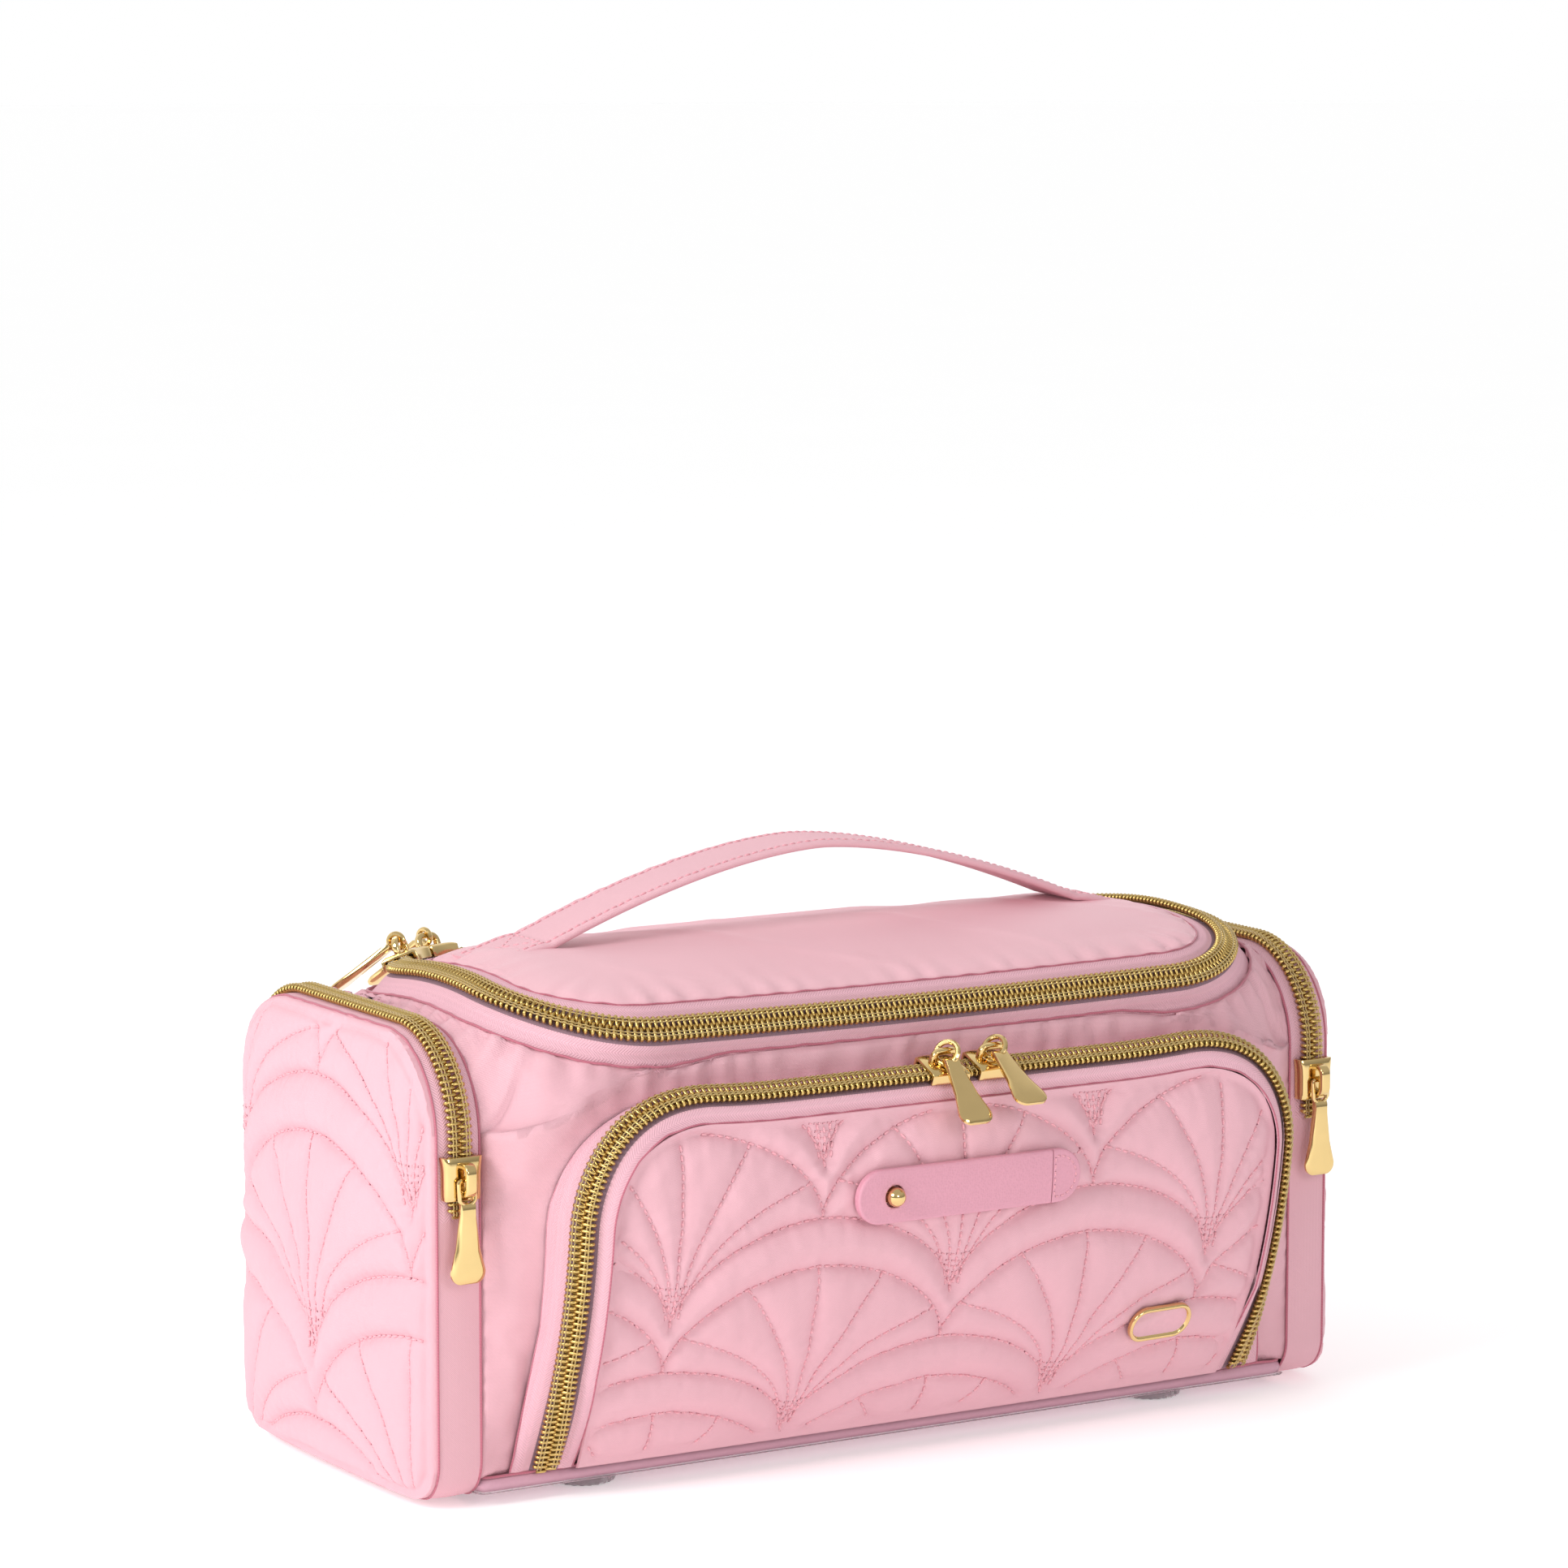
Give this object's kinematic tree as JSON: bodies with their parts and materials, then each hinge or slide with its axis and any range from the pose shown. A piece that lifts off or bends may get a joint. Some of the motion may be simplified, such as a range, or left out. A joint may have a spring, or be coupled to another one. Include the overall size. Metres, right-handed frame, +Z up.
{
  "type": "makeup train case",
  "caption": "Soft train case with a zip-round padded lid, drop-down quilted front pocket, zipped end pockets and a top strap handle.",
  "frame": {"origin": "under the middle of the whole object, at the level of the undersides of the feet", "axes": "+X along the case to the right as seen from the front, -Y towards the front pocket, +Z up"},
  "size_m": [0.3392, 0.1848, 0.1844],
  "materials": {
    "pink_fabric": "plain-woven pink nylon with a slight satin sheen",
    "quilted_fabric": "the same pink nylon, padded and quilted in overlapping scallops",
    "zip_tape": "lilac-pink herringbone zip tape",
    "gold_metal": "polished pale gold plating, also the metallised coil teeth",
    "lining_fabric": "thin smooth lining cloth",
    "base_vinyl": "mauve vinyl base with a clear edge",
    "board": "stiff plastic base board",
    "clear_plastic": "clear ribbed plastic feet",
    "pink_leather": "hot-pink grained leather with edge stitching"
  },
  "bodies": {
    "case": {"base_cover": "base_vinyl", "base_panel": "pink_fabric", "base_board": "board", "foot_front_left": "clear_plastic", "foot_front_right": "clear_plastic", "foot_back_left": "clear_plastic", "foot_back_right": "clear_plastic", "front_wall": "pink_fabric", "back_wall": "pink_fabric", "left_inner_wall": "pink_fabric", "right_inner_wall": "pink_fabric", "left_shoulder": "pink_fabric", "right_shoulder": "pink_fabric", "back_top_panel": "pink_fabric", "body_lining": "lining_fabric", "lid_zip_tape": "zip_tape", "lid_zip_chain": "gold_metal", "front_zip_tape": "zip_tape", "front_zip_chain": "gold_metal", "left_pocket_gusset": "pink_fabric", "left_zip_chain": "gold_metal", "left_end_panel_lower": "quilted_fabric", "right_pocket_gusset": "pink_fabric", "right_zip_chain": "gold_metal", "right_end_panel_lower": "quilted_fabric"},
    "lid": {"lid_panel": "pink_fabric", "lid_lining": "lining_fabric", "lid_rim_tape": "zip_tape", "lid_hinge_strip": "pink_fabric", "handle_strap": "pink_fabric"},
    "front_pocket_panel": {"front_panel": "quilted_fabric", "front_panel_lining": "lining_fabric", "tab_anchor": "pink_leather", "tab_stud": "gold_metal", "badge": "gold_metal"},
    "snap_tab": {"tab_strap": "pink_leather"},
    "left_flap": {"left_end_panel_upper": "quilted_fabric"},
    "right_flap": {"right_end_panel_upper": "quilted_fabric"},
    "left_zip_slider": {"left_slider": "gold_metal"},
    "left_zip_pull": {"left_pull": "gold_metal"},
    "right_zip_slider": {"right_slider": "gold_metal"},
    "right_zip_pull": {"right_pull": "gold_metal"},
    "front_left_zip_slider": {"front_left_slider": "gold_metal"},
    "front_left_zip_pull": {"front_left_pull": "gold_metal"},
    "front_right_zip_slider": {"front_right_slider": "gold_metal"},
    "front_right_zip_pull": {"front_right_pull": "gold_metal"},
    "lid_first_zip_slider": {"lid_first_slider": "gold_metal"},
    "lid_first_zip_pull": {"lid_first_pull": "gold_metal"},
    "lid_second_zip_slider": {"lid_second_slider": "gold_metal"},
    "lid_second_zip_pull": {"lid_second_pull": "gold_metal"}
  },
  "joints": [
    {"name": "lid_hinge", "type": "hinge", "parent": "case", "child": "lid", "pos_m": [0, 0.0704, 0.15], "axis": [-1, 0, 0], "range_deg": [0, 95]},
    {"name": "front_panel_hinge", "type": "hinge", "parent": "case", "child": "front_pocket_panel", "pos_m": [0, -0.04263, 0.009], "axis": [1, 0, 0], "range_deg": [0, 55]},
    {"name": "snap_tab_hinge", "type": "hinge", "parent": "front_pocket_panel", "child": "snap_tab", "pos_m": [0.0296, -0.07769, 0.08855], "axis": [0, -0.0709, 0.9975], "range_deg": [0, 100]},
    {"name": "left_flap_hinge", "type": "hinge", "parent": "case", "child": "left_flap", "pos_m": [-0.1696, 0.0244, 0.088], "axis": [0, -1, 0], "range_deg": [0, 120]},
    {"name": "right_flap_hinge", "type": "hinge", "parent": "case", "child": "right_flap", "pos_m": [0.1696, 0.0244, 0.088], "axis": [0, 1, 0], "range_deg": [0, 120]},
    {"name": "left_slider_travel", "type": "slide", "parent": "case", "child": "left_zip_slider", "axis": [0, 0, 1], "range_m": [-0.006, 0.004]},
    {"name": "left_pull_pivot", "type": "hinge", "parent": "left_zip_slider", "child": "left_zip_pull", "pos_m": [-0.1558, -0.0451, 0.1015], "axis": [-1, 0, 0], "range_deg": [0, 150]},
    {"name": "right_slider_travel", "type": "slide", "parent": "case", "child": "right_zip_slider", "axis": [0, 0, 1], "range_m": [-0.006, 0.004]},
    {"name": "right_pull_pivot", "type": "hinge", "parent": "right_zip_slider", "child": "right_zip_pull", "pos_m": [0.1558, -0.0451, 0.1015], "axis": [-1, 0, 0], "range_deg": [0, 150]},
    {"name": "front_left_slider_travel", "type": "slide", "parent": "case", "child": "front_left_zip_slider", "axis": [1, 0, 0], "range_m": [-0.045, 0]},
    {"name": "front_left_pull_pivot", "type": "hinge", "parent": "front_left_zip_slider", "child": "front_left_zip_pull", "pos_m": [-0.004, -0.06905, 0.12953], "axis": [-1, 0, 0], "range_deg": [0, 120]},
    {"name": "front_right_slider_travel", "type": "slide", "parent": "case", "child": "front_right_zip_slider", "axis": [1, 0, 0], "range_m": [0, 0.038]},
    {"name": "front_right_pull_pivot", "type": "hinge", "parent": "front_right_zip_slider", "child": "front_right_zip_pull", "pos_m": [0.0132, -0.06905, 0.12953], "axis": [-1, 0, 0], "range_deg": [0, 110]},
    {"name": "lid_first_slider_travel", "type": "hinge", "parent": "case", "child": "lid_first_zip_slider", "pos_m": [-0.0929, 0.0308, 0.15024], "axis": [0, -0.1109, -0.9938], "range_deg": [-10, 3]},
    {"name": "lid_first_pull_pivot", "type": "hinge", "parent": "lid_first_zip_slider", "child": "lid_first_zip_pull", "pos_m": [-0.12185, 0.06279, 0.15548], "axis": [0.7292, 0.68, -0.0759], "range_deg": [0, 100]},
    {"name": "lid_second_slider_travel", "type": "hinge", "parent": "case", "child": "lid_second_zip_slider", "pos_m": [-0.0929, 0.0308, 0.15024], "axis": [0, -0.1109, -0.9938], "range_deg": [-3, 3]},
    {"name": "lid_second_pull_pivot", "type": "hinge", "parent": "lid_second_zip_slider", "child": "lid_second_zip_pull", "pos_m": [-0.10742, 0.07164, 0.15449], "axis": [0.939, 0.3418, -0.0381], "range_deg": [0, 45]}
  ]
}
